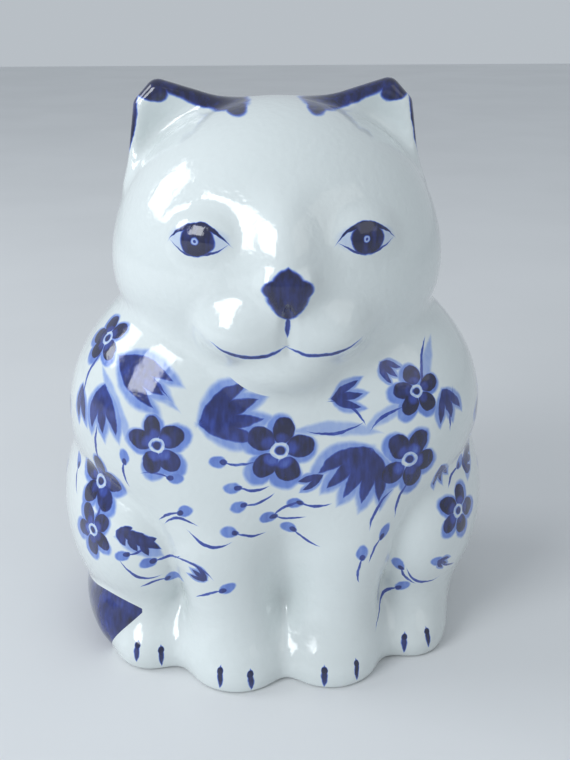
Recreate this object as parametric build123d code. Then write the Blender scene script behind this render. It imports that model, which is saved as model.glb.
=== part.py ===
from build123d import *

import os

# A hollow porcelain cat that sits upright and looks along -Y. Millimetres, +Z up, Z = 0 is the table.
# Its members are formed one by one and joined face to face: no member moves on the fired figure.

# Walls and the underside
wall = 4.2
limb_wall = 7.0
plate_thickness = 5.0
foot_recess = 2.5
vent_diameter = 9.0
vent_back = 12.0

# Torso: half widths, half depths and centre lines of the body
base_half_width = 54.0
base_half_depth = 40.0
base_centre_y = 8.0
belly_half_width = 75.0
belly_half_depth = 58.0
belly_centre_y = 4.0
belly_height = 78.0
neck_half_width = 44.0
neck_half_depth = 38.0
neck_height = 138.0

# Head and muzzle
head_half_width = 56.0
head_half_depth = 50.0
head_half_height = 47.0
head_centre_y = -6.0
head_lift = 8.0
muzzle_half_width = 37.0
muzzle_half_depth = 32.0
muzzle_half_height = 25.0
muzzle_drop = 14.0
muzzle_proud = 5.0

# Ears
ear_rise = 7.0
ear_depth = 40.0
ear_width = 38.0
ear_outer_inset = 5.5
ear_tip_inset = 18.0
ear_tip_radius = 3.5
ear_thickness = 20.0
ear_set_back = 4.0
dish_depth = 4.0

# Forelegs and forepaws
leg_spacing = 42.0
leg_radius = 17.0
leg_drop = 42.0
shoulder_sink = 9.0
paw_half_width = 17.0
paw_half_depth = 20.0
paw_height = 24.0
paw_proud = 28.0
paw_centre_height = 9.0
ankle_set_back = 3.0

# Haunches and hind paws
haunch_inner_edge = 16.0
haunch_half_depth = 46.0
haunch_half_height = 41.0
haunch_centre_height = 45.0
haunch_forward = 5.0
haunch_proud = 3.0
hind_half_width = 17.0
hind_half_depth = 26.0
hind_height = 26.0
hind_centre_height = 9.0
hind_proud = 8.5
hind_forward = 27.0

# Tail
tail_radius = 13.0
tail_flat = 1.0
tail_proud = 17.0
tail_bite = 4.0
tail_root_angle = 72.0
tail_tip_angle = 199.0

# Places that follow from the sizes above
head_centre_z = neck_height + head_lift
ear_top = head_centre_z + head_half_height + ear_rise
leg_top = neck_height - leg_drop
paw_centre_y = base_centre_y - base_half_depth - paw_proud + paw_half_depth
haunch_half_width = (belly_half_width + haunch_proud - haunch_inner_edge) / 2
big = 4.0 * ear_top


def ellipsoid(half_sizes, centre):
    return Pos(*centre) * scale(Sphere(1.0), by=half_sizes)


def above_table(shape):
    return shape - Pos(0, 0, -big / 2) * Box(big, big, big)


def on_side(shape, side):
    """Keeps the part of a shape that lies on one side of the middle, side being 1 or -1."""
    return shape - Pos(-side * big / 2, 0, 0) * Box(big, big, big)


def torso_solid(inset=0.0):
    """The body's outer form, or its hollow when it is taken in by the wall."""
    rise = neck_height - belly_height
    middle_width = (belly_half_width + neck_half_width) / 2
    middle_depth = (belly_half_depth + neck_half_depth) / 2
    rings = [
        (0.0, base_half_width, base_half_depth, base_centre_y),
        (0.28 * belly_height, base_half_width + 3.0, base_half_depth + 3.0, base_centre_y),
        (0.62 * belly_height, 0.9 * belly_half_width, 0.9 * belly_half_depth, belly_centre_y + 1.0),
        (belly_height, belly_half_width, belly_half_depth, belly_centre_y),
        (belly_height + 0.3 * rise, 0.96 * belly_half_width, 0.95 * belly_half_depth, belly_centre_y),
        (belly_height + 0.66 * rise, middle_width + 1.0, middle_depth + 1.0, belly_centre_y),
        (neck_height, neck_half_width, neck_half_depth, 0.0),
    ]
    return loft([Pos(0, y, z) * Ellipse(a - inset, b - inset) for z, a, b, y in rings])


def skull_solid(inset=0.0):
    half_sizes = (head_half_width - inset, head_half_depth - inset, head_half_height - inset)
    return ellipsoid(half_sizes, (0, head_centre_y, head_centre_z))


def muzzle_solid():
    y = head_centre_y - head_half_depth - muzzle_proud + muzzle_half_depth
    half_sizes = (muzzle_half_width, muzzle_half_depth, muzzle_half_height)
    return ellipsoid(half_sizes, (0, y, head_centre_z - muzzle_drop))


def ear_solid(side):
    """A wide upright ear with its tip well out, its front hollowed like a saucer."""
    ear_y = head_centre_y + ear_set_back
    outer = head_half_width - ear_outer_inset
    tip = head_half_width - ear_tip_inset
    inner = outer - ear_width
    rings = [
        (ear_depth, inner + 0.1 * ear_width, outer, ear_thickness),
        (0.42 * ear_depth, inner, outer, 0.75 * ear_thickness),
        (0.2 * ear_depth, inner + 0.2 * ear_width, outer - 1.5, 0.55 * ear_thickness),
        (0.08 * ear_depth, inner + 0.42 * ear_width, tip + 2.5 * ear_tip_radius, 0.4 * ear_thickness),
        (0.0, tip - ear_tip_radius, tip + ear_tip_radius, 0.15 * ear_thickness),
    ]
    sections = []
    for drop, inside, outside, thickness in rings:
        place = Pos(side * (inside + outside) / 2, ear_y, ear_top - drop)
        sections.append(place * Ellipse((outside - inside) / 2, thickness / 2))
    dish_half_sizes = (0.3 * ear_width, 2 * dish_depth, 0.3 * ear_depth)
    dish_y = ear_y - 0.36 * ear_thickness - dish_depth
    dish_place = (side * (inner + 0.6 * ear_width), dish_y, ear_top - 0.4 * ear_depth)
    return loft(sections) - ellipsoid(dish_half_sizes, dish_place)


def leg_solid(side, inset=0.0):
    """A foreleg that runs down the chest into its paw, or its bore when it is taken in by a wall."""
    foot_y = paw_centre_y + ankle_set_back
    shoulder_y = belly_centre_y - belly_half_depth + leg_radius + shoulder_sink
    rings = [
        (paw_centre_height + inset, leg_spacing / 2, foot_y, 0.92 * leg_radius),
        (leg_top / 2, leg_spacing / 2 + 1.0, (3 * foot_y + shoulder_y) / 4, leg_radius),
        (leg_top, leg_spacing / 2 + 5.0, shoulder_y, 0.9 * leg_radius),
    ]
    return loft([Pos(side * x, y, z) * Circle(radius - inset) for z, x, y, radius in rings])


def forepaw_solid(side):
    """A forepaw, flat below and flat where it meets the other forepaw."""
    half_height = paw_height - paw_centre_height
    centre = (side * paw_half_width, paw_centre_y, paw_centre_height)
    return on_side(above_table(ellipsoid((1.04 * paw_half_width, paw_half_depth, half_height), centre)), side)


def haunch_solid(side, inset=0.0):
    """The thigh that bulges from the side of the body, or its hollow when it is taken in by the wall."""
    half_sizes = (haunch_half_width - inset, haunch_half_depth - inset, haunch_half_height - inset)
    x = side * (belly_half_width + haunch_proud - haunch_half_width)
    return ellipsoid(half_sizes, (x, belly_centre_y - haunch_forward, haunch_centre_height))


def hind_paw_solid(side):
    x = side * (base_half_width + hind_proud - hind_half_width)
    half_height = hind_height - hind_centre_height
    centre = (x, base_centre_y - hind_forward, hind_centre_height)
    return above_table(ellipsoid((hind_half_width, hind_half_depth, half_height), centre))


def tail_solid():
    """A round bar bent along the back of the base, with ball ends and flat where it stands."""
    radius = base_half_width + tail_proud - tail_radius
    centre_y = base_centre_y + base_half_depth - tail_bite + tail_radius - radius
    arc = CenterArc((0, 0, 0), radius, tail_root_angle, tail_tip_angle - tail_root_angle)
    path = Pos(0, centre_y, tail_radius - tail_flat) * arc
    bar = sweep(Plane(origin=path @ 0, z_dir=path % 0) * Circle(tail_radius), path=path)
    for end in (0, 1):
        bar += Pos(*(path @ end)) * Sphere(tail_radius)
    return above_table(bar)


def cat_pieces():
    """Every member by name. Each is cut by the ones that it is seated on, so they meet face to face."""
    sides = {"left": 1, "right": -1}
    torso = torso_solid()
    torso_hollow = torso_solid(wall)
    skull = skull_solid()
    head = skull + muzzle_solid()
    haunches = {name: haunch_solid(side) for name, side in sides.items()}
    haunch_hollows = {name: haunch_solid(side, wall) for name, side in sides.items()}
    legs = {name: leg_solid(side) for name, side in sides.items()}
    leg_bores = {name: leg_solid(side, limb_wall) for name, side in sides.items()}
    hind_paws = {name: hind_paw_solid(side) for name, side in sides.items()}

    plate_top = foot_recess + plate_thickness
    plate_slab = Pos(0, 0, plate_top - plate_thickness / 2) * Box(big, big, plate_thickness)
    under_plate = Pos(0, 0, plate_top + wall - big / 2) * Box(big, big, big)
    vent = Pos(0, base_centre_y + vent_back, foot_recess) * Cylinder(vent_diameter / 2, 4 * plate_thickness)
    passage_slab = Pos(0, 0, head_centre_z - head_half_height / 2) * Box(big, big, head_half_height)

    pieces = {"base_plate": (torso_hollow & plate_slab) - vent}
    shell = torso - torso_hollow - head
    for name in sides:
        shell = shell - (haunch_hollows[name] - under_plate) - leg_bores[name]
    pieces["torso_shell"] = shell
    pieces["head_shell"] = head - skull_solid(wall) - (torso_hollow & passage_slab)

    tail = tail_solid() - torso
    for name, side in sides.items():
        pieces[f"{name}_ear"] = ear_solid(side) - skull
        pieces[f"{name}_haunch"] = haunches[name] - torso - haunch_hollows[name]
        pieces[f"{name}_hind_paw"] = hind_paws[name] - torso - haunches[name]
        pieces[f"{name}_foreleg"] = legs[name] - torso - head - haunches[name] - hind_paws[name] - leg_bores[name]
        pieces[f"{name}_forepaw"] = forepaw_solid(side) - torso - legs[name] - haunches[name] - hind_paws[name]
        tail = tail - haunches[name] - hind_paws[name]
    pieces["tail"] = tail
    return pieces


def centred(pieces):
    """Moves the members together so that the middle of the figure's footprint is the origin."""
    boxes = [shape.bounding_box() for shape in pieces.values()]
    middle_x = (min(box.min.X for box in boxes) + max(box.max.X for box in boxes)) / 2
    middle_y = (min(box.min.Y for box in boxes) + max(box.max.Y for box in boxes)) / 2
    return {name: Pos(-middle_x, -middle_y, 0) * shape for name, shape in pieces.items()}


os.makedirs("parts", exist_ok=True)
for node, shape in centred(cat_pieces()).items():
    export_step(shape, f"parts/{node}.step")
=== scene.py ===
import math
import time
import bpy
import numpy as np
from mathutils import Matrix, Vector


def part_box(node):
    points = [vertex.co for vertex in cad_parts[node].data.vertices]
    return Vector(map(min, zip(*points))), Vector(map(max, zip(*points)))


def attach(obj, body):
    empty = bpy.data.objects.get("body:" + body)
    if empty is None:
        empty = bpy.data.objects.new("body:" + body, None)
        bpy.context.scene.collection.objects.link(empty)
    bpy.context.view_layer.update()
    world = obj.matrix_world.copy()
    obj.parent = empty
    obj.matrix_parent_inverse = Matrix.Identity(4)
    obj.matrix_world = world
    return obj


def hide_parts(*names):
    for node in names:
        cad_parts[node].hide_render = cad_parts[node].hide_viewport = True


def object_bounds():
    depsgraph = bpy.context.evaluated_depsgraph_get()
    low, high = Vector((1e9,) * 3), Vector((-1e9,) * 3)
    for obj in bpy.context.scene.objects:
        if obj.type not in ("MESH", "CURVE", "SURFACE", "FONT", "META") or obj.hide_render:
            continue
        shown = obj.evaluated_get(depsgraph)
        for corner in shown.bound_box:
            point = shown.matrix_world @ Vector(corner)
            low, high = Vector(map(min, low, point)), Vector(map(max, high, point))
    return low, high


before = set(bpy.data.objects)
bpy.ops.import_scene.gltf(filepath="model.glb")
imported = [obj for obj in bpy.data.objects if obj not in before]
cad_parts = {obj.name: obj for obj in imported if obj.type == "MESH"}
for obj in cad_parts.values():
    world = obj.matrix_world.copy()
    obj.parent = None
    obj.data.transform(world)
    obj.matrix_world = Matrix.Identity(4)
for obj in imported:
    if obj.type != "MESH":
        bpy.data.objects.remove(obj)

import openvdb
from mathutils import Matrix, Vector

# A hollow porcelain cat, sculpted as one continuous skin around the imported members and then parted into
# those members. Shapes are in millimetres, measured from the bottom middle of each member's box.

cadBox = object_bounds()
startTime = time.time()
mm = 0.001
tiny = 1e-9  # keeps a division from failing at the very middle of a form
nowhere = 1e9
sides = ("left", "right")


def say(text):
    print(f"[{time.time() - startTime:6.1f} s] {text}")


def bottomMiddle(node):
    low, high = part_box(node)
    return np.array([(low.x + high.x) / 2, (low.y + high.y) / 2, low.z]) / mm


bottoms = {node: bottomMiddle(node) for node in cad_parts}


def spot(node, offset=(0, 0, 0)):  # a point given from the bottom middle of a member's box
    return bottoms[node] + np.array(offset, float)


# Fields are negative inside a form, zero on the glaze and positive outside.

def blend(a, b, width):  # two forms run together, width is about the size of the fillet
    near = np.maximum(width - np.abs(a - b), 0) / width
    return np.minimum(a, b) - near * near * width / 4


def carve(a, b, width):  # a with b pressed into it
    return -blend(-a, b, width)


def ease(value, low, high):  # 0 at low, 1 at high
    t = np.clip((value - low) / (high - low), 0, 1)
    return t * t * (3 - 2 * t)


def turning(aboutZ, aboutY, aboutX):
    z, y, x = (Matrix.Rotation(math.radians(angle), 3, axis)
               for angle, axis in ((aboutZ, "Z"), (aboutY, "Y"), (aboutX, "X")))
    return np.array(z @ y @ x)


def ball(p, node, form, turn=0, lean=0, tip=0):  # an ellipsoid, its form being its middle and its half sizes
    middle, half = form
    q = (p - spot(node, middle)) @ turning(turn, lean, tip)
    half = np.array(half, float)
    near = np.sqrt(((q / half) ** 2).sum(1))
    far = np.sqrt(((q / half ** 2) ** 2).sum(1)) + tiny
    return near * (near - 1) / far


def rod(p, start, end, startRadius, endRadius):
    along = end - start
    t = np.clip(((p - start) @ along) / (along @ along), 0, 1)
    return np.linalg.norm(p - start - t[:, None] * along, axis=1) - (startRadius + (endRadius - startRadius) * t)


def slab(p, corners, radii):  # a rounded triangle, as thick as its corners' radii
    a, b, c = corners
    ab, ac = b - a, c - a
    normal = np.cross(ab, ac) / np.linalg.norm(np.cross(ab, ac))
    height = (p - a) @ normal
    flat = p - a - height[:, None] * normal
    bb, bc, cc = ab @ ab, ab @ ac, ac @ ac
    fb, fc = flat @ ab, flat @ ac
    v = (cc * fb - bc * fc) / (bb * cc - bc * bc)
    w = (bb * fc - bc * fb) / (bb * cc - bc * bc)
    u = 1 - v - w
    over = (u >= 0) & (v >= 0) & (w >= 0)
    result = np.where(over, np.abs(height) - (u * radii[0] + v * radii[1] + w * radii[2]), nowhere)
    for i, j in ((0, 1), (1, 2), (2, 0)):
        result = np.minimum(result, rod(p, corners[i], corners[j], radii[i], radii[j]))
    return result


def smoothCurve(knots, at):  # natural cubic through the knots' values
    x, y = np.array([k[0] for k in knots], float), np.array([k[1:] for k in knots], float)
    count, h = len(x), np.diff(x)
    system, right = np.eye(count), np.zeros((count, y.shape[1]))
    for i in range(1, count - 1):
        system[i, i - 1:i + 2] = h[i - 1], 2 * (h[i - 1] + h[i]), h[i]
        right[i] = 6 * ((y[i + 1] - y[i]) / h[i] - (y[i] - y[i - 1]) / h[i - 1])
    m = np.linalg.solve(system, right)
    z = np.clip(at, x[0], x[-1])
    i = np.clip(np.searchsorted(x, z) - 1, 0, count - 2)
    after, before, step = (z - x[i])[:, None], (x[i + 1] - z)[:, None], h[i][:, None]
    return ((m[i] * before ** 3 + m[i + 1] * after ** 3) / (6 * step)
            + (y[i] / step - m[i] * step / 6) * before + (y[i + 1] / step - m[i + 1] * step / 6) * after)


# The members. Those that come in pairs are given for the cat's left and mirrored.

torso = dict(
    # height, half width, half depth, how far back the middle lies
    knots=[(-6, 54, 40, 4.5), (8, 57, 42.5, 4), (26, 61, 46, 3), (48, 67.5, 51, 1.5), (68, 73.5, 55.5, 0.5),
           (84, 73.8, 57, 0), (98, 70.5, 55, -1), (111, 64.5, 51, -2.5), (122, 57.5, 47, -3.5), (140, 42, 40, -4.5)],
    top=130, topRound=6, steepness=0.9)


def torsoField(p):
    sizes = smoothCurve(torso["knots"], p[:, 2])
    halfWidth, halfDepth, back = sizes.T
    origin = spot("torso_shell")
    across, along = (p[:, 0] - origin[0]) / halfWidth, (p[:, 1] - origin[1] - back) / halfDepth
    barrel = (np.hypot(across, along) - 1) * np.minimum(halfWidth, halfDepth) * torso["steepness"]
    return -blend(-barrel, torso["top"] - p[:, 2], torso["topRound"])


head = dict(
    skull=((0.8, 4, 39.5), (54.2, 49, 45.5)), cheeks=((0.8, 0, 28.5), (53.5, 44, 33)), cheekBlend=12,
    puff=((11.8, -37.5, 19.5), (15, 13, 11.5)), puffBlend=5.5, chin=((0, -35, 7.5), (17, 14, 10)), chinBlend=5,
    bridge=((0, -39, 39), (8.5, 12.5, 18)), bridgeTip=-8, bridgeBlend=11,
    noseTop=(5.2, -49.6, 36), noseEnd=(0, -50.6, 28.5), noseRadii=(2.6, 2.6, 2.0), noseBlend=4,
    eye=((24.5, -36.5, 47.5), (10, 5.5, 7)), eyeTurn=24, eyeBlend=5,
    lip=((0, -52, 20), (1.6, 3, 10)), lipBlend=3)


def headField(p, mirror):
    node = "head_shell"
    result = blend(ball(p, node, head["skull"]), ball(p, node, head["cheeks"]), head["cheekBlend"])
    result = blend(result, ball(p, node, head["bridge"], tip=head["bridgeTip"]), head["bridgeBlend"])
    for q in (p, mirror):
        result = blend(result, ball(q, node, head["eye"], turn=head["eyeTurn"]), head["eyeBlend"])
    result = blend(result, ball(p, node, head["chin"]), head["chinBlend"])
    puffs = np.minimum(ball(p, node, head["puff"]), ball(mirror, node, head["puff"]))
    result = blend(result, puffs, head["puffBlend"])
    noseTop = np.array(head["noseTop"])
    corners = [spot(node, place) for place in (noseTop, noseTop * (-1, 1, 1), head["noseEnd"])]
    result = blend(result, slab(p, corners, head["noseRadii"]), head["noseBlend"])
    return carve(result, ball(p, node, head["lip"]), head["lipBlend"])


ear = dict(
    innerEnd=(-24.5, 0.2, 24), innerTip=(2.2, -2.3, 33.3), outerTip=(6.6, -2.8, 29), outerEnd=(9.5, -2.8, 4.5),
    radii=(5.2, 4.3, 4.0, 4.6), dish=((0, -13.2, 19.5), (13.5, 11, 16.5)), dishTurn=-8, dishLean=-32, dishBlend=3)


def earField(p):
    node = "left_ear"
    innerEnd, innerTip, outerTip, outerEnd = (
        spot(node, ear[corner]) for corner in ("innerEnd", "innerTip", "outerTip", "outerEnd"))
    inner, tip, outer, low = ear["radii"]
    result = np.minimum(slab(p, (innerEnd, innerTip, outerEnd), (inner, tip, low)),
                        slab(p, (innerTip, outerTip, outerEnd), (tip, outer, low)))
    dish = ball(p, node, ear["dish"], turn=ear["dishTurn"], lean=ear["dishLean"])
    return carve(result, dish, ear["dishBlend"])


foreleg = dict(
    shoulder=(17, 23.7, 85), elbow=(0.4, 6.7, 43), knee=(0, 5.7, 45), wrist=(-3.1, 0.2, 3),
    shoulderRadius=28, elbowRadius=17.5, kneeRadius=17.5, wristRadius=14.5, elbowBlend=12)


def forelegField(p):
    shoulder, elbow, knee, wrist = (
        spot("left_foreleg", foreleg[joint]) for joint in ("shoulder", "elbow", "knee", "wrist"))
    arm = rod(p, shoulder, elbow, foreleg["shoulderRadius"], foreleg["elbowRadius"])
    shin = rod(p, knee, wrist, foreleg["kneeRadius"], foreleg["wristRadius"])
    return blend(arm, shin, foreleg["elbowBlend"])


forepaw = dict(toes=((-0.9, 0.5, 4), (18, 18.5, 14)), back=((0.1, 8.5, 9), (16.5, 17, 15)), backBlend=8)
hindPaw = dict(
    toes=((-1.2, -2.3, 5), (17, 23, 15)), toesTurn=14, back=((1.3, 7.3, 10), (15, 22, 15)), backBlend=10)
haunch = dict(thigh=((-2.4, 2.5, 42.5), (29, 46, 41)), turn=-8, tip=6)


def forepawField(p):
    node = "left_forepaw"
    return blend(ball(p, node, forepaw["toes"]), ball(p, node, forepaw["back"]), forepaw["backBlend"])


def hindPawField(p):
    node = "left_hind_paw"
    toePads = ball(p, node, hindPaw["toes"], turn=hindPaw["toesTurn"])
    return blend(toePads, ball(p, node, hindPaw["back"]), hindPaw["backBlend"])


def haunchField(p):
    return ball(p, "left_haunch", haunch["thigh"], turn=haunch["turn"], tip=haunch["tip"])


tail = dict(bend=59.5, middle=(20, -21, 14), start=60, end=202, radius=13.5, flatness=0.82)


def tailField(p):  # a round bar bent along an arc, standing nearly upright on its edge
    q = p - spot("tail", tail["middle"])
    angle = np.radians(np.clip(np.degrees(np.arctan2(q[:, 1], q[:, 0])) % 360, tail["start"], tail["end"]))
    across = np.hypot(q[:, 0] - tail["bend"] * np.cos(angle), q[:, 1] - tail["bend"] * np.sin(angle))
    return np.hypot(across, q[:, 2] * tail["flatness"]) - tail["radius"]


def memberFields(p):
    mirror = p * (-1, 1, 1)
    fields = {"torso_shell": torsoField(p), "head_shell": headField(p, mirror), "tail": tailField(p)}
    for side, q in zip(sides, (p, mirror)):
        fields[side + "_ear"] = earField(q)
        fields[side + "_foreleg"] = forelegField(q)
        fields[side + "_forepaw"] = forepawField(q)
        fields[side + "_haunch"] = haunchField(q)
        fields[side + "_hind_paw"] = hindPawField(q)
    return fields


joins = dict(  # how softly the members run into each other, and over which heights that changes
    legFoot=6, legShoulder=18, legHeights=(45, 80), foldFoot=10.5, fold=2.5, foldHeights=(12, 30),
    neckBack=4, neckFront=8, neckDepths=(25, 48), paw=9, thigh=12, tail=2.5, ear=5, footEdge=1.6)


def graded(low, high, share):
    return joins[low] + (joins[high] - joins[low]) * share


def bodyField(p):
    f = memberFields(p)
    leg = graded("legFoot", "legShoulder", ease(p[:, 2], *joins["legHeights"]))
    fold = graded("foldFoot", "fold", ease(p[:, 2], *joins["foldHeights"]))
    neck = graded("neckBack", "neckFront", ease(-p[:, 1], *joins["neckDepths"]))
    body, top = f["torso_shell"], f["head_shell"]
    for side in sides:
        body = blend(body, f[side + "_foreleg"], leg)
        body = blend(body, f[side + "_forepaw"], joins["paw"])
        top = blend(top, f[side + "_ear"], joins["ear"])
    for side in sides:
        body = blend(body, blend(f[side + "_haunch"], f[side + "_hind_paw"], joins["thigh"]), fold)
    body = blend(body, f["tail"], joins["tail"])
    return blend(body, top, neck)


def catField(p):  # the whole figure, cut flat where it stands
    return -blend(-bodyField(p), p[:, 2], joins["footEdge"])


# One skin is laid over the whole figure.

skin = dict(
    step=1.25, margin=4, coarse=4, cellReach=0.87, band=3,  # band is in steps
    leastSlope=0.05, longestMove=1, wall=4.2, wallSteps=4)


def slope(p, field=catField, reach=0.05):
    result = np.empty_like(p)
    for axis in range(3):
        nudge = np.zeros(3)
        nudge[axis] = reach
        result[:, axis] = (field(p + nudge) - field(p - nudge)) / (2 * reach)
    return result


def settled(p, times=2):  # points moved onto the surface
    longest = skin["longestMove"]
    for _ in range(times):
        g = slope(p)
        move = np.clip(catField(p) / np.maximum((g * g).sum(1), skin["leastSlope"]), -longest, longest)
        p = p - move[:, None] * g
    return p


def inParts(field, p, size=200000):
    return np.concatenate([field(p[i:i + size]) for i in range(0, len(p), size)])


def wholeSkin():
    step, ratio, band = skin["step"], skin["coarse"], skin["band"]
    low = np.array(cadBox[0]) / mm - skin["margin"]
    high = np.array(cadBox[1]) / mm + skin["margin"]
    counts = np.ceil((high - low) / (ratio * step)).astype(int) + 1
    axes = [low[i] + ratio * step * (np.arange(counts[i]) + 0.5) - step / 2 for i in range(3)]
    coarse = np.stack(np.meshgrid(*axes, indexing="ij"), -1).reshape(-1, 3)
    rough = inParts(catField, coarse).reshape(counts)
    values = rough.repeat(ratio, 0).repeat(ratio, 1).repeat(ratio, 2)
    near = np.argwhere(np.abs(values) < (skin["cellReach"] * ratio + band) * step)
    values[tuple(near.T)] = inParts(catField, low + near * step)
    grid = openvdb.FloatGrid(background=band * step)
    grid.copyFromArray(np.clip(values, -band * step, band * step).astype(np.float32))
    points, quads = grid.convertToQuads(0.0)
    return settled(points.astype(float) * step + low), quads.astype(int)


# The skin is parted where the field of one member passes that of another.

members = [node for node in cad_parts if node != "base_plate"]
underside = len(members)  # label of the opening that the base plate fills
plateOverlap = 0.15  # how far the wall reaches over the plate's edge
soleHeight = 0.3
capRings = 5
noLength = 1e-12


def openingField(p):  # negative inside the outline of the base plate
    low, high = (np.array(corner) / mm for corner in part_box("base_plate"))
    middle, half = (low + high) / 2, (high - low) / 2 - plateOverlap
    return (np.hypot((p[:, 0] - middle[0]) / half[0], (p[:, 1] - middle[1]) / half[1]) - 1) * half[1]


def labelled(p):
    fields = memberFields(p)
    values = np.stack([fields[node] for node in members], 1)
    opening = openingField(p)
    label = values.argmin(1)
    label[(opening < 0) & (p[:, 2] < soleHeight)] = underside
    return values, opening, label


def snapped(points, quads):  # moves the points nearest to each border between members onto it
    values, opening, label = labelled(points)
    edges = np.unique(np.sort(np.concatenate([quads[:, [i, (i + 1) % 4]] for i in range(4)]), 1), axis=0)
    u, v = edges[label[edges[:, 0]] != label[edges[:, 1]]].T
    a, b = np.minimum(label[u], underside - 1), np.minimum(label[v], underside - 1)
    atFloor = (label[u] == underside) | (label[v] == underside)
    first = np.where(atFloor, opening[u], values[u, a] - values[u, b])
    second = np.where(atFloor, opening[v], values[v, a] - values[v, b])
    t = np.clip(first / np.where(first == second, 1, first - second), 0, 1)
    moved = np.where(t <= 0.5, u, v)
    target = points[u] + t[:, None] * (points[v] - points[u])
    farFirst = np.argsort(-np.linalg.norm(target - points[moved], axis=1))
    onBorder = np.zeros(len(points), bool)
    onBorder[moved] = True
    result = points.copy()
    result[moved[farFirst]] = target[farFirst]
    result[onBorder] = settled(result[onBorder], 1)
    return result, onBorder, label


def facesOf(points, quads, onBorder, label):  # the faces of each member, quads and the odd triangle
    corners = np.where(onBorder[quads], -1, label[quads])
    highest = corners.max(1)
    same = ((corners == -1) | (corners == highest[:, None])).all(1)
    centreLabel = labelled(points[quads].mean(1))[2]
    whole = np.where(highest == -1, centreLabel, highest)
    halves = []
    for quad, corner in zip(quads[~same], corners[~same]):
        start = 0 if corner[0] == corner[2] == -1 else 1
        for k in (start, start + 2):
            halves.append([quad[k % 4], quad[(k + 1) % 4], quad[(k + 2) % 4]])
    halves = np.array(halves, int).reshape(-1, 3)
    halfLabel = np.where(onBorder[halves], -1, label[halves]).max(1)
    lost = halfLabel == -1
    halfLabel[lost] = labelled(points[halves[lost]].mean(1))[2]
    return [(quads[same & (whole == k)], halves[halfLabel == k]) for k in range(underside)]


def sunk(p):  # the inside of the wall, found by walking inward along the field
    for _ in range(skin["wallSteps"]):
        g = slope(p)
        p = p - g / np.linalg.norm(g, axis=1)[:, None] * skin["wall"] / skin["wallSteps"]
    return p


def openEdges(faceSets):
    edges = np.concatenate([f[:, [i, (i + 1) % f.shape[1]]] for f in faceSets for i in range(f.shape[1])])
    known = {tuple(e) for e in edges.tolist()}
    return np.array([e for e in edges.tolist() if (e[1], e[0]) not in known], int)


def flatNormals(corners):
    normal = np.cross(corners[:, 1] - corners[:, 0], corners[:, 2] - corners[:, 0])
    return normal / np.maximum(np.linalg.norm(normal, axis=1), noLength)[:, None]


def rings(places, rim):  # rings that close in on the middle of the rim
    around = np.unique(rim)
    order = {point: k for k, point in enumerate(around)}
    a, b = (np.array([order[point] for point in rim[:, end]]) for end in (0, 1))
    middle = places[around].mean(0)
    added, faces, previous, start = [], [], around, len(places)
    for ring in range(1, capRings):
        added.append(places[around] + (middle - places[around]) * ring / capRings)
        current = start + np.arange(len(around))
        faces.append(np.stack([previous[b], previous[a], current[a], current[b]], 1))
        previous, start = current, start + len(around)
    added.append(middle[None])
    faces.append(np.stack([previous[b], previous[a], np.full(len(a), start)], 1))
    return np.concatenate(added), faces


def member(node, faceSets, capped):  # one closed piece: its share of the skin, then a cap or a rim and an inside
    used = np.unique(np.concatenate([f.ravel() for f in faceSets]))
    count = len(used)
    renumber = np.full(len(points), -1)
    renumber[used] = np.arange(count)
    outside = [renumber[f] for f in faceSets]
    rim = openEdges(outside)
    places, faces, normals = points[used], list(outside), [outNormals[used][f] for f in outside]
    if capped:
        added, ringFaces = rings(places, rim)
        faces += ringFaces
    else:
        added, inside = innerPoints[used], [f[:, ::-1] for f in outside]
        faces += [f + count for f in inside]
        normals += [-outNormals[used][f] for f in inside]
        faces.append(np.stack([rim[:, 1], rim[:, 0], rim[:, 0] + count, rim[:, 1] + count], 1))
    places = np.concatenate([places, added])
    for f in faces[len(normals):]:
        normals.append(np.repeat(flatNormals(places[f])[:, None], f.shape[1], 1))
    mesh = bpy.data.meshes.new(node + "_glazed")
    mesh.from_pydata((places * mm).tolist(), [], [face for f in faces for face in f.tolist()])
    mesh.polygons.foreach_set("use_smooth", [True] * len(mesh.polygons))
    mesh.normals_split_custom_set(np.concatenate([n.reshape(-1, 3) for n in normals]).tolist())
    piece = bpy.data.objects.new(node + "_glazed", mesh)
    bpy.context.scene.collection.objects.link(piece)
    return piece


points, quads = wholeSkin()
say(f"skin of {len(quads)} faces")
points, onBorder, label = snapped(points, quads)
outNormals = slope(points)
outNormals /= np.linalg.norm(outNormals, axis=1)[:, None]
innerPoints = sunk(points)
pieces = {}
for node, faceSets in zip(members, facesOf(points, quads, onBorder, label)):
    pieces[node] = member(node, faceSets, node.endswith("_ear"))
    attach(pieces[node], "root")
    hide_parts(node)
say(f"{len(pieces)} members")


# A mark of the brush sits on a small flat frame laid on the glaze: its middle, then its right, up and
# outward axes. Places on the figure are an angle round from the front, positive on the cat's left, and a
# height. They are sought by walking in from outside.

trace = dict(start=120, steps=90, share=0.8, back=2, ahead=8, slopeReach=1.0)


def framesAt(anglesAndHeights):
    angles = np.radians([angle for angle, height in anglesAndHeights])
    heights = np.array([height for angle, height in anglesAndHeights], float)
    outward = np.stack([np.sin(angles), -np.cos(angles), np.zeros(len(angles))], 1)
    places = outward * trace["start"] + np.stack([0 * heights, 0 * heights, heights], 1)
    for _ in range(trace["steps"]):
        move = np.clip(catField(places), -trace["back"], trace["ahead"])
        places = places - outward * move[:, None] * trace["share"]
    normal = slope(places, reach=trace["slopeReach"])
    normal /= np.linalg.norm(normal, axis=1)[:, None]
    right = np.cross((0, 0, 1), normal)
    right /= np.linalg.norm(right, axis=1)[:, None]
    return [(place, np.stack([r, np.cross(n, r), n], 1)) for place, r, n in zip(places, right, normal)]


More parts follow.
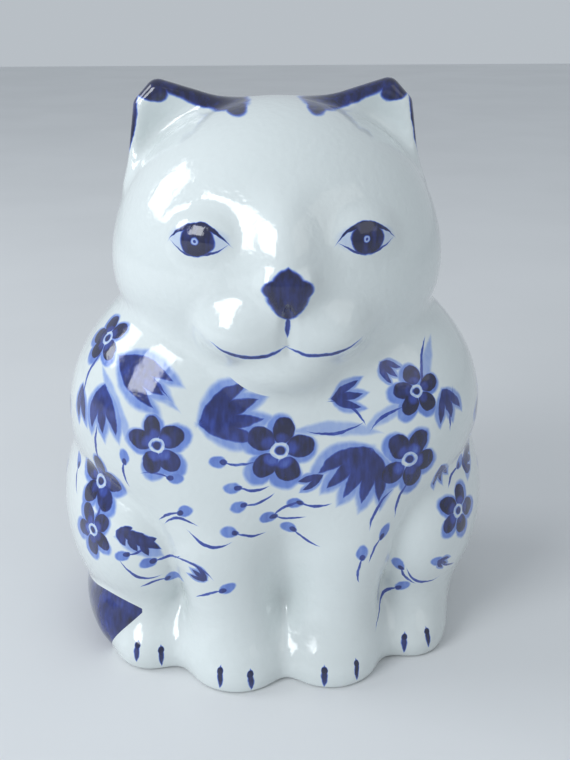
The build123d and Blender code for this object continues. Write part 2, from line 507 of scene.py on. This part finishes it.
def turned(angle, x, y):
    c, s = math.cos(math.radians(angle)), math.sin(math.radians(angle))
    return x * c - y * s, x * s + y * c


def mark(frameAt, x, y, halfLength, halfWidth, turn=0, ink=0.9, kind="dab", bend=0, soft=0.14, deep=14):
    place, axes = frameAt
    c, s = math.cos(math.radians(turn)), math.sin(math.radians(turn))
    spin = axes @ np.array([[c, -s, 0], [s, c, 0], [0, 0, 1]])
    return dict(kind=kind, place=place + axes @ np.array([x, y, 0.0]), axes=spin, size=(halfLength, halfWidth, deep),
                ink=ink, bend=bend, soft=soft)


def stroke(frameAt, x, y, halfLength, halfWidth, turn=0, bend=0, ink=0.8, soft=0.3, deep=30):
    return mark(frameAt, x, y, halfLength, halfWidth, turn, ink, "stroke", bend, soft, deep)


petal = dict(  # all but inks and softness are shares of the flower's reach or of the petal
    count=5, swing=8, out=(0.92, 1.08), length=(0.62, 0.72), width=(0.5, 0.6), ink=(0.9, 1.0), soft=0.1)
petalWash = dict(slip=0.16, drop=0.14, out=1.08, size=1.3, ink=0.36, soft=0.16)
petalBase = dict(out=0.62, length=0.34, width=0.5, ink=(0.2, 0.4), soft=0.6)
flowerRing = dict(size=(0.38, 0.36), ink=0.8)
flowerEye = dict(size=(0.24, 0.22), ink=0.9, soft=0.3)


def flower(frameAt, reach, turn, rng):  # separate petals round a pale ring, on a paler wash
    marks, petals, bases = [], [], []
    slip = (rng.uniform(-petalWash["slip"], petalWash["slip"]) * reach, -petalWash["drop"] * reach)
    wash, base = petalWash, petalBase
    for k in range(petal["count"]):
        angle = turn + 360 / petal["count"] * k + rng.uniform(-petal["swing"], petal["swing"])
        out = reach * rng.uniform(*petal["out"])
        x, y = out * math.cos(math.radians(angle)), out * math.sin(math.radians(angle))
        length, width = reach * rng.uniform(*petal["length"]), reach * rng.uniform(*petal["width"])
        marks.append(mark(frameAt, x * wash["out"] + slip[0], y * wash["out"] + slip[1], length * wash["size"],
                          width * wash["size"], angle, wash["ink"], soft=wash["soft"]))
        petals.append(mark(frameAt, x, y, length, width, angle, rng.uniform(*petal["ink"]), soft=petal["soft"]))
        bases.append(mark(frameAt, x * base["out"], y * base["out"], length * base["length"], width * base["width"],
                          angle, rng.uniform(*base["ink"]), "wipe", soft=base["soft"]))
    marks += petals + bases
    ring, eye = flowerRing["size"], flowerEye["size"]
    marks.append(mark(frameAt, 0, 0, reach * ring[0], reach * ring[1], 0, flowerRing["ink"], "ring"))
    marks.append(mark(frameAt, 0, 0, reach * eye[0], reach * eye[1], 0, flowerEye["ink"], soft=flowerEye["soft"]))
    return marks


leafBody = dict(length=0.55, width=0.5, ink=0.88, soft=0.2)
leafWash = dict(drop=0.55, length=0.6, width=0.85, ink=0.26, soft=0.2)
leafLobe = dict(pairs=3, room=0.4, back=0.1, out=0.34, length=0.66, width=0.1, lean=38, ink=0.836, soft=0.22)


def leaf(frameAt, length, width, turn, bend):  # a pointed leaf with a row of lobes down each side
    body, wash, lobe = leafBody, leafWash, leafLobe
    marks = [stroke(frameAt, 0, -width * wash["drop"], length * wash["length"], width * wash["width"], turn, bend,
                    wash["ink"], wash["soft"]),
             stroke(frameAt, 0, 0, length * body["length"], width * body["width"], turn, bend, body["ink"],
                    body["soft"])]
    for k in range(lobe["pairs"]):
        along = (k - (lobe["pairs"] - 1) / 2) * length / (lobe["pairs"] + lobe["room"])
        for lean in (-1, 1):
            x, y = turned(turn, along - lobe["back"] * length, lean * width * lobe["out"])
            marks.append(stroke(frameAt, x, y, width * lobe["length"], length * lobe["width"],
                                turn + lean * lobe["lean"], 0, lobe["ink"], lobe["soft"]))
    return marks


budShape = dict(  # in millimetres: how far back, except for the whole, then half length, half width and ink
    whole=(2.86, 1.95, 0.4), tip=(1.95, 1.3, 0.988, 0.8), stalk=(7.02, 5.2, 0.5, 0.62), stalkBend=2.0,
    wholeSoft=0.2, tipSoft=0.3)


def bud(frameAt, turn):  # a pale oval with a dark tip on a thin stalk
    c, s = math.cos(math.radians(turn)), math.sin(math.radians(turn))
    whole, (tipBack, *tip), (stalkBack, *stalk) = (budShape[k] for k in ("whole", "tip", "stalk"))
    return [mark(frameAt, 0, 0, *whole[:2], turn, whole[2], soft=budShape["wholeSoft"]),
            mark(frameAt, -tipBack * c, -tipBack * s, *tip[:2], turn, tip[2], soft=budShape["tipSoft"]),
            stroke(frameAt, -stalkBack * c, -stalkBack * s, *stalk[:2], turn, budShape["stalkBend"], stalk[2])]


blade = dict(count=3, spread=24, bend=0.25, width=0.13, ink=0.8, soft=0.25)
bladeWash = dict(out=1.12, length=0.6, width=0.22, ink=0.3)


def blades(frameAt, length, turn, count=blade["count"], spread=blade["spread"]):  # leaves that fan out from a point
    marks, wash = [], bladeWash
    for k in range(count):
        fromMiddle = k - (count - 1) / 2
        angle, bend = turn + fromMiddle * spread, blade["bend"] * fromMiddle
        x, y = length / 2 * math.cos(math.radians(angle)), length / 2 * math.sin(math.radians(angle))
        marks.append(stroke(frameAt, x, y, length / 2, length * blade["width"], angle, bend, blade["ink"],
                            blade["soft"]))
        marks.append(stroke(frameAt, x * wash["out"], y * wash["out"], length * wash["length"],
                            length * wash["width"], angle, bend, wash["ink"], blade["soft"]))
    return marks


garland = dict(  # angle, height, then what each kind needs
    flowers=[(-38, 90, 6.2, 100), (-2, 89, 7.0, 80), (38, 82, 6.6, 60), (-63, 119, 5.4, 40),
             (-61, 69, 6.4, 10), (-60, 52, 5.6, 50), (41, 105, 5.2, 30), (57, 55, 5.8, 70),
             (75, 88, 6.8, 20), (-82, 88, 6.4, 20), (100, 60, 6.4, 50), (-104, 62, 6.2, 90),
             (122, 92, 6.8, 10), (-128, 94, 6.6, 60), (152, 66, 6.4, 30), (-150, 60, 6.0, 0),
             (178, 92, 7.2, 90), (165, 116, 5.2, 50), (-165, 112, 5.4, 20), (90, 112, 5.2, 0)],
    leaves=[(-46, 52, 15, 4.6, -22, 0.4), (70, 70, 14, 4.6, 40, 0.4), (88, 74, 15, 5.0, -40, 0.4),
            (-92, 74, 15, 5.0, 35, 0.4), (110, 78, 16, 5.4, 15, 0.5), (-116, 78, 16, 5.2, -20, 0.5),
            (138, 82, 16, 5.4, 60, 0.4), (-140, 78, 16, 5.2, 100, 0.4), (165, 78, 16, 5.4, -15, 0.5),
            (-168, 78, 16, 5.4, 30, 0.5), (135, 110, 14, 4.6, -25, 0.4), (-110, 108, 14, 4.6, 20, 0.4)],
    washes=[(16, 94, 30, 2.4, -4, 0.6), (33, 98, 22, 2.2, 26, 0.6), (46, 110, 26, 2.2, 62, 0.6),
            (-51, 100, 30, 2.2, -58, 0.8), (-42, 107, 24, 2.2, -24, 0.8), (-14, 94, 18, 2.0, 10, 0.5),
            (-120, 100, 26, 2.2, 40, 0.6), (125, 80, 26, 2.2, -40, 0.6)],
    blades=[(-54, 116, 21, -22, 3, 15), (-27, 98, 21, 14, 4, 18), (27, 88, 20, -120, 5, 19),
            (-55, 107, 17, -88, 3, 20), (-65, 104, 13, -80, 2, 22), (12, 80, 9, -150, 2, 24),
            (49, 104, 12, -70), (51, 75, 9, -70), (15, 105, 11, 5), (32, 115, 8, -40), (50, 38, 6, -30),
            (-25, 41, 7, 150), (-97, 98, 11, -80), (104, 96, 11, -80), (146, 96, 11, 200),
            (-150, 92, 11, -30), (-178, 68, 10, -90)],
    buds=[(-21, 85, 180), (-17, 76, 180), (-15, 69, 200), (-18, 60, 170), (3, 69, 180), (-6, 64, 180),
          (1, 59, 150), (-31, 67, 30), (32, 56, 60), (24, 50, 90), (41, 38, 120), (45, 27, 40),
          (50, 38, 150), (-19, 38, 30), (-44, 44, 200), (-40, 37, 20), (-50, 46, 210), (-48, 84, 90),
          (-33, 79, 0), (64, 70, 30), (80, 60, 150), (96, 84, 60), (-75, 70, 120), (-88, 60, 40),
          (118, 68, 20), (132, 74, 160), (158, 90, 100), (-122, 66, 140), (-136, 62, 60), (-158, 84, 10),
          (172, 60, 90), (148, 108, 40), (-145, 110, 120), (112, 46, 30), (-108, 44, 150)],
    stems=[(-43, 110, 14, -30, 4), (-24, 58, 9, -15, -5), (-33, 61, 7, 10, 5), (2, 66, 8, 20, 4),
           (30, 65, 10, 60, 3), (16, 96, 13, 4, -4), (32, 97, 8, 30, 3), (46, 112, 14, 70, 3),
           (52, 96, 9, 85, 2), (48, 32, 10, -30, -6), (-46, 41, 9, -25, -6), (-30, 44, 9, -20, 5),
           (20, 100, 9, -35, 4), (-57, 84, 12, 80, 3), (-60, 60, 9, 80, -3), (38, 68, 11, 70, 4),
           (70, 80, 12, 50, 4), (92, 92, 13, 60, -4), (-90, 80, 13, 120, 4), (115, 86, 12, 30, 4),
           (-120, 86, 12, 150, 4), (142, 74, 12, 60, -4), (-150, 70, 12, 110, -4), (172, 78, 13, 40, 4),
           (-160, 98, 12, 60, 4), (130, 100, 12, 130, 4), (155, 104, 10, 20, -4), (-62, 108, 12, 80, 3)])


garlandOrder = ("washes", "leaves", "blades", "stems", "buds", "flowers")  # the last lie on top
washBrush = dict(ink=0.22, soft=0.35)
stemBrush = dict(extra=3, width=0.58, ink=0.62)


def garlandMarks():
    rng = np.random.default_rng(5)
    kinds = [(kind, entry) for kind in garlandOrder for entry in garland[kind]]
    frames = framesAt([entry[:2] for kind, entry in kinds])
    marks = []
    for (kind, (_, _, *shape)), at in zip(kinds, frames):
        if kind == "flowers":
            marks += flower(at, *shape, rng)
        elif kind == "leaves":
            marks += leaf(at, *shape)
        elif kind == "blades":
            marks += blades(at, *shape)
        elif kind == "buds":
            marks += bud(at, *shape)
        elif kind == "washes":
            length, width, turn, bend = shape
            marks.append(stroke(at, 0, 0, length / 2, width, turn, bend, washBrush["ink"], washBrush["soft"]))
        else:
            length, turn, bend = shape
            marks.append(stroke(at, 0, 0, length / 2 + stemBrush["extra"], stemBrush["width"], turn, bend,
                                stemBrush["ink"]))
    return marks


face = dict(
    # places are an angle and a height; strokes of an eye are x, y, half length, half width, bend and ink
    eyes=[(-26, 157), (24.3, 157)], lid=(0, -0.4, 10.2, 0.85, 6.0, 0.98), lowLid=(0, -0.6, 9.6, 0.5, -7.0, 0.75),
    # dabs are x, y, half length, half width, turn, ink, kind
    white=(0, 0.4, 9.6, 4.2, 0, 0.1), iris=(0, 0.2, 5.6, 4.8, 0, 0.97),
    pupilRing=(-0.6, 0.1, 1.2, 1.1, 0, 0.8, "wipe"), pupil=(-0.6, 0.1, 0.5, 0.5, 0, 0.7),
    nose=(0, 144.3), noseCap=(0, 0, 7.8, 3.9, 0, 0.93), noseDrop=(0, -1.4, 8.6, 6.4, 90, 0, 0.93, 0.15),
    line=(0, -12.2, 3.9, 0.75, 90, 0, 0.75, 0.4),
    mouthPlace=(11.3, -18.6), mouthSize=(11.6, 0.7), mouthTurn=3, mouthBend=-4.6, mouthInk=0.75, mouthSoft=0.4)


def eyeMarks(at):
    marks = [mark(at, *face["white"], soft=0.2), mark(at, *face["iris"], soft=0.1)]
    for name in ("lid", "lowLid"):
        x, y, length, width, bend, ink = face[name]
        marks.append(stroke(at, x, y, length, width, 0, bend, ink))
    return marks + [mark(at, *face["pupilRing"], soft=0.3), mark(at, *face["pupil"], soft=0.3)]


def faceMarks():
    *eyes, nose = framesAt(face["eyes"] + [face["nose"]])
    marks = [one for at in eyes for one in eyeMarks(at)]
    marks += [mark(nose, *face["noseCap"], soft=0.12), stroke(nose, *face["noseDrop"]), stroke(nose, *face["line"])]
    x, y = face["mouthPlace"]
    for side in (-1, 1):
        marks.append(stroke(nose, side * x, y, *face["mouthSize"], side * face["mouthTurn"], face["mouthBend"],
                            face["mouthInk"], face["mouthSoft"]))
    return marks


toes = dict(
    places=[(-47, 8), (-41, 6.5), (-20, 6.5), (-11, 5.5), (11, 5.5), (21, 6.5), (41, 7), (47, 8)],
    halfLength=3.9, halfWidth=0.95, ink=0.9, soft=0.4, tip=(1.3, 1.05, 90, 0.97), tipRise=0.55, tipSoft=0.2)


def toeMarks():
    marks = []
    for at in framesAt(toes["places"]):
        marks += [stroke(at, 0, 0, toes["halfLength"], toes["halfWidth"], 90, 0, toes["ink"], toes["soft"]),
                  mark(at, 0, toes["halfLength"] * toes["tipRise"], *toes["tip"], soft=toes["tipSoft"])]
    return marks


earRim = dict(  # x, height, half length, half width and slant of each dark band, on the cat's left ear
    bands=[(24, 196.5, 17, 4.6, 17), (40, 197, 5.5, 3.6, 20), (48.2, 184, 14, 2.1, -76), (12.5, 191, 4.5, 3.6, 20)],
    y=-9, ink=0.96, soft=0.16, deep=18)


def earMarks():
    marks = []
    axes = np.array([[1, 0, 0], [0, 0, -1], [0, 1, 0]], float)
    for side in (-1, 1):
        for x, height, length, width, slant in earRim["bands"]:
            at = (np.array([side * x, earRim["y"], height], float), axes)
            marks.append(mark(at, 0, 0, length, width, side * slant, earRim["ink"], soft=earRim["soft"],
                              deep=earRim["deep"]))
    return marks


# Materials are node trees written as expressions.

class Value:  # a node's output that takes part in plain arithmetic
    def __init__(self, shader, socket):
        self.shader, self.socket = shader, socket

    def maths(self, operation, first, second=0.0):
        return self.shader.node("ShaderNodeMath", {"operation": operation}, [first, second])

    def __add__(self, other):
        return self.maths("ADD", self, other)

    def __radd__(self, other):
        return self.maths("ADD", other, self)

    def __sub__(self, other):
        return self.maths("SUBTRACT", self, other)

    def __rsub__(self, other):
        return self.maths("SUBTRACT", other, self)

    def __mul__(self, other):
        return self.maths("MULTIPLY", self, other)

    def __rmul__(self, other):
        return self.maths("MULTIPLY", other, self)

    def __abs__(self):
        return self.maths("ABSOLUTE", self)

    def most(self, other):
        return self.maths("MAXIMUM", self, other)


class Shader:  # a node tree that expressions and calls add nodes to
    def __init__(self, tree):
        self.nodes, self.links = tree.nodes, tree.links

    def node(self, kind, settings=None, inputs=(), output=0):
        made = self.nodes.new(kind)
        for key, value in (settings or {}).items():
            if key == "stops":
                ramp = made.color_ramp.elements
                while len(ramp) < len(value):
                    ramp.new(1.0)
                for element, (position, colour) in zip(ramp, value):
                    element.position, element.color = position, (*colour, 1)
            else:
                setattr(made, key, value)
        for key, value in (inputs.items() if isinstance(inputs, dict) else enumerate(inputs)):
            self.set(made.inputs[key], value)
        return Value(self, made.outputs[output])

    def set(self, socket, value):
        if isinstance(value, Value):
            self.links.new(value.socket, socket)
        else:
            socket.default_value = value

    def noise(self, at, scale, detail=2.0, output=0):
        return self.node("ShaderNodeTexNoise", {}, {"Vector": at, "Scale": scale, "Detail": detail}, output)

    def fade(self, value, start, end, low=0.0, high=1.0):  # eased from low at start to high at end
        settings = {"interpolation_type": "SMOOTHSTEP", "clamp": False}
        return self.node("ShaderNodeMapRange", settings, [value, start, end, low, high])


def newMaterial(name):
    material = bpy.data.materials.new(name)
    material.use_nodes = True
    return material, Shader(material.node_tree), material.node_tree.nodes["Principled BSDF"].inputs


glaze = dict(
    stops=[(0.0, (0.68, 0.73, 0.73)), (0.14, (0.42, 0.52, 0.72)), (0.36, (0.14, 0.24, 0.62)),
           (0.6, (0.035, 0.065, 0.34)), (0.82, (0.017, 0.027, 0.15)), (1.0, (0.009, 0.011, 0.05))],
    # the glaze is made rougher where the painted shade in the creases and near the foot lies
    roughness=0.13, speckRoughness=0.06, shadeRoughness=0.3, coat=0.6, coatRoughness=0.04,
    wobble=0.75, wobbleScale=170, tremble=0.12, trembleScale=900,  # how far the brush's edges wander, in mm
    streakScale=(520, 520, 160), streakDepth=0.3, poolScale=90, poolDepth=0.22, tailInk=0.86,
    # the colour, strength and patches of the painted shade in the creases and of the painted shadow near the foot
    shadeColour=(0.30, 0.27, 0.24), shadeDepth=0.35, shadePatchScale=26, shadePatches=(0.3, 0.7, 0.4, 1.0),
    creases=(0.49, 0.40), footHeights=(0.04, 0.0), footPatches=(0.35, 0.75, 0.0, 1.0), footShare=0.5,
    peelScale=420, speckScale=1400, bumpStrength=0.35, bumpDistance=0.0004, inkHeight=0.15)


markInputs = dict(At="Vector", Along="Vector", Across="Vector", Outward="Vector", AlongPlace="Float",
                  AcrossPlace="Float", OutwardPlace="Float", Bend="Float", Soft="Float", Hard="Float", Ink="Float",
                  Under="Float")
ringEdges = (0.6, 0.25)


def markGroup(kind):  # lays one mark of the brush over the ink that is already there
    tree = bpy.data.node_groups.new("mark_" + kind, "ShaderNodeTree")
    for name, form in markInputs.items():
        tree.interface.new_socket(name, in_out="INPUT", socket_type="NodeSocket" + form)
    tree.interface.new_socket("Ink", in_out="OUTPUT", socket_type="NodeSocketFloat")
    shader = Shader(tree)
    given = tree.nodes.new("NodeGroupInput")
    at, *axes = (Value(shader, given.outputs[k]) for k in ("At", "Along", "Across", "Outward"))
    middles = [Value(shader, given.outputs[k]) for k in ("AlongPlace", "AcrossPlace", "OutwardPlace")]
    bend, soft, hard, ink, under = (Value(shader, given.outputs[k]) for k in ("Bend", "Soft", "Hard", "Ink", "Under"))
    along, across, outward = (
        shader.node("ShaderNodeVectorMath", {"operation": "DOT_PRODUCT"}, [at, axis], 1) - middle
        for axis, middle in zip(axes, middles))
    squared = along * along + outward * outward
    if kind == "stroke":
        taper = 1 - squared
        cover = shader.fade(taper - abs(across - bend * taper), hard, soft, 0, ink)
    else:
        squared = squared + across * across
        cover = shader.fade(abs(squared - 1) if kind == "ring" else squared, soft, hard, 0, ink)
    result = under * (1 - cover) if kind in ("wipe", "ring") else under.most(cover)
    shader.set(tree.nodes.new("NodeGroupOutput").inputs[0], result)
    return tree


markGroups = {kind: markGroup(kind) for kind in ("dab", "stroke", "wipe", "ring")}


def laid(shader, at, under, one):
    soft = one["soft"]
    edges = {"stroke": (soft, -soft), "ring": ringEdges}.get(one["kind"], ((1 + soft) ** 2, (1 - soft) ** 2))
    axes = (one["axes"] / np.array(one["size"], float)).T
    middles = axes @ one["place"]
    values = [at, *(tuple(axis / mm) for axis in axes), *middles.tolist(), one["bend"], *edges, one["ink"], under]
    return shader.node("ShaderNodeGroup", {"node_tree": markGroups[one["kind"]]}, values)


def wandering(shader, at):  # the surface's own place, shaken a little as a brush shakes
    shakes = [(shader.noise(at, glaze["wobbleScale"], 1.0, 1), glaze["wobble"]),
              (shader.noise(at, glaze["trembleScale"], 0.0, 1), glaze["tremble"])]
    centred = [shader.node("ShaderNodeVectorMath", {"operation": "SUBTRACT"}, [noise, (0.5, 0.5, 0.5)])
               for noise, reach in shakes]
    for shift, (noise, reach) in zip(centred, shakes):
        at = shader.node("ShaderNodeVectorMath", {"operation": "MULTIPLY_ADD"}, [shift, (2 * reach * mm,) * 3, at])
    return at


def paintedShadeOf(shader, at):  # painted shade: darkens the colour in patches in the creases, found from the surface's pointiness, and as a painted shadow towards the foot
    tint = shader.noise(at, glaze["shadePatchScale"], 2.0)
    hollow = shader.node("ShaderNodeNewGeometry", {}, [], 7)
    paintedShade = shader.fade(hollow, *glaze["creases"]) * shader.fade(tint, *glaze["shadePatches"])
    height = shader.node("ShaderNodeSeparateXYZ", {}, [at], 2)
    low = shader.fade(height, *glaze["footHeights"]) * shader.fade(tint, *glaze["footPatches"])
    return paintedShade.most(low * glaze["footShare"]) * glaze["shadeDepth"]


def glazedMaterial(name, marks, baseInk=0.0):
    material, shader, surface = newMaterial(name)
    at = shader.node("ShaderNodeTexCoord", {}, [], 3)
    moved = wandering(shader, at)
    ink = baseInk
    for one in marks:
        ink = laid(shader, moved, ink, one)
    stretched = shader.node("ShaderNodeVectorMath", {"operation": "MULTIPLY"}, [at, glaze["streakScale"]])
    streak = shader.noise(stretched, 1.0, 2.0)
    pool = shader.noise(at, glaze["poolScale"], 2.0)
    ink = (1 + (streak - 0.5) * (2 * glaze["streakDepth"]) + (pool - 0.5) * (2 * glaze["poolDepth"])) * ink
    colour = shader.node("ShaderNodeValToRGB", {"stops": glaze["stops"]}, [ink])
    # painted shade in the creases and painted shadow towards the foot, multiplied into the colour
    paintedShade = paintedShadeOf(shader, at)
    colour = shader.node("ShaderNodeMix", {"data_type": "RGBA", "blend_type": "MULTIPLY"},
                         {0: paintedShade, 6: colour, 7: (*glaze["shadeColour"], 1)}, 2)
    shader.set(surface["Base Color"], colour)
    speck = shader.noise(at, glaze["speckScale"], 1.0)
    roughness = glaze["roughness"] + (speck - 0.5) * glaze["speckRoughness"] + paintedShade * glaze["shadeRoughness"]
    shader.set(surface["Roughness"], roughness)
    surface["Coat Weight"].default_value = glaze["coat"]
    surface["Coat Roughness"].default_value = glaze["coatRoughness"]
    height = shader.noise(at, glaze["peelScale"], 1.0) + ink * glaze["inkHeight"]
    relief = {"Strength": glaze["bumpStrength"], "Distance": glaze["bumpDistance"], "Height": height}
    shader.set(surface["Normal"], shader.node("ShaderNodeBump", {}, relief))
    return material


bisque = dict(
    light=(0.62, 0.58, 0.52), dark=(0.42, 0.37, 0.31), roughness=0.85, stainRoughness=0.1,
    stainScale=60, stainEdges=(0.35, 0.7), stainShare=0.7, gritScale=2600, gritEdges=(0.55, 0.8), gritShare=0.3,
    bumpStrength=0.4, bumpDistance=0.0003)


def bisqueMaterial():
    material, shader, surface = newMaterial("bare_porcelain")
    at = shader.node("ShaderNodeTexCoord", {}, [], 3)
    stain, grit = shader.noise(at, bisque["stainScale"], 4.0), shader.noise(at, bisque["gritScale"], 2.0)
    stained = shader.fade(stain, *bisque["stainEdges"]) * bisque["stainShare"]
    mixed = stained + shader.fade(grit, *bisque["gritEdges"]) * bisque["gritShare"]
    colour = shader.node("ShaderNodeValToRGB", {"stops": [(0.0, bisque["light"]), (1.0, bisque["dark"])]}, [mixed])
    shader.set(surface["Base Color"], colour)
    shader.set(surface["Roughness"], bisque["roughness"] - stain * bisque["stainRoughness"])
    relief = {"Strength": bisque["bumpStrength"], "Distance": bisque["bumpDistance"], "Height": grit}
    shader.set(surface["Normal"], shader.node("ShaderNodeBump", {}, relief))
    return material


markMargin = dict(share=1.4, extra=2)


def marksNear(node, marks):  # the marks that may reach a piece
    corners = np.array([v.co for v in pieces[node].data.vertices]) / mm
    near = []
    for one in marks:
        length, width, _ = one["size"]
        reach = max(length, width) * markMargin["share"] + abs(one["bend"]) * width + markMargin["extra"]
        if (((corners - one["place"]) ** 2).sum(1) < reach * reach).any():
            near.append(one)
    return near


bodyMarks, faceAll, earAll = garlandMarks() + toeMarks(), faceMarks(), earMarks()
for node, piece in pieces.items():
    if node == "head_shell":
        marks = marksNear(node, faceAll + earAll)
    elif node.endswith("_ear"):
        marks = marksNear(node, earAll)
    elif node == "tail":
        marks = []
    else:
        marks = marksNear(node, bodyMarks)
    baseInk = glaze["tailInk"] if node == "tail" else 0.0
    piece.data.materials.append(glazedMaterial(node + "_glaze", marks, baseInk))
    say(f"{node}: {len(marks)} marks")
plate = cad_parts["base_plate"]
plate.data.materials.clear()
plate.data.materials.append(bisqueMaterial())


stage = dict(
    floorSize=3.0, floorColour=(0.74, 0.75, 0.76), floorRoughness=0.6, toneScale=5, tones=(0.3, 0.7, 0.96, 1.0),
    lens=47.37, clipStart=0.01, cameraTurn=-4.6, cameraPitch=21.34, cameraPlace=(4.3, -348.5, 227),
    sky=(0.86, 0.93, 1.0), skyStrength=0.56, lampTarget=(0, 0, 0.1))
lamps = [  # name, place, width, height, power and colour
    ("window", (-0.9, -0.75, 0.75), 0.55, 0.7, 8.5, (0.93, 0.97, 1.0)),
    ("window_far", (-1.2, 0.2, 0.9), 0.5, 0.7, 5, (0.93, 0.97, 1.0)),
    ("room", (1.0, -0.9, 0.9), 0.9, 0.9, 1.5, (1.0, 0.98, 0.92))]


def makeFloor():
    size = stage["floorSize"]
    mesh = bpy.data.meshes.new("floor")
    mesh.from_pydata([(-size, -size, 0), (size, -size, 0), (size, size, 0), (-size, size, 0)], [], [(0, 1, 2, 3)])
    floor = bpy.data.objects.new("floor", mesh)
    bpy.context.scene.collection.objects.link(floor)
    material, shader, surface = newMaterial("floor")
    at = shader.node("ShaderNodeTexCoord", {}, [], 3)
    tone = shader.fade(shader.noise(at, stage["toneScale"], 3.0), *stage["tones"])
    colour = shader.node("ShaderNodeMix", {"data_type": "RGBA"},
                         {0: tone, 6: (0, 0, 0, 1), 7: (*stage["floorColour"], 1)}, 2)
    shader.set(surface["Base Color"], colour)
    surface["Roughness"].default_value = stage["floorRoughness"]
    mesh.materials.append(material)


def makeCamera():
    turn = Matrix.Rotation(math.radians(stage["cameraTurn"]), 3, "Z")
    camera = bpy.data.objects.new("camera", bpy.data.cameras.new("camera"))
    bpy.context.scene.collection.objects.link(camera)
    camera.data.lens = stage["lens"]
    camera.data.clip_start = stage["clipStart"]
    camera.location = turn @ Vector(stage["cameraPlace"]) * mm
    pitch = math.radians(stage["cameraPitch"])
    ahead = turn @ Vector((0, math.cos(pitch), -math.sin(pitch)))
    camera.rotation_euler = ahead.to_track_quat("-Z", "Y").to_euler()
    bpy.context.scene.camera = camera


def makeLamp(name, place, width, height, power, colour):
    light = bpy.data.lights.new(name, "AREA")
    light.shape = "RECTANGLE"
    light.size, light.size_y = width, height
    light.energy, light.color = power, colour
    lamp = bpy.data.objects.new(name, light)
    lamp.location = place
    lamp.rotation_euler = (Vector(stage["lampTarget"]) - Vector(place)).to_track_quat("-Z", "Y").to_euler()
    bpy.context.scene.collection.objects.link(lamp)


def makeSky():
    world = bpy.data.worlds.new("sky")
    world.use_nodes = True
    background = world.node_tree.nodes["Background"].inputs
    background["Color"].default_value = (*stage["sky"], 1)
    background["Strength"].default_value = stage["skyStrength"]
    bpy.context.scene.world = world


makeFloor()
makeCamera()
for lamp in lamps:
    makeLamp(*lamp)
makeSky()
bpy.context.scene.view_settings.view_transform = "Standard"
say("floor, camera, lamps and sky")

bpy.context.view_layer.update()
say("done")
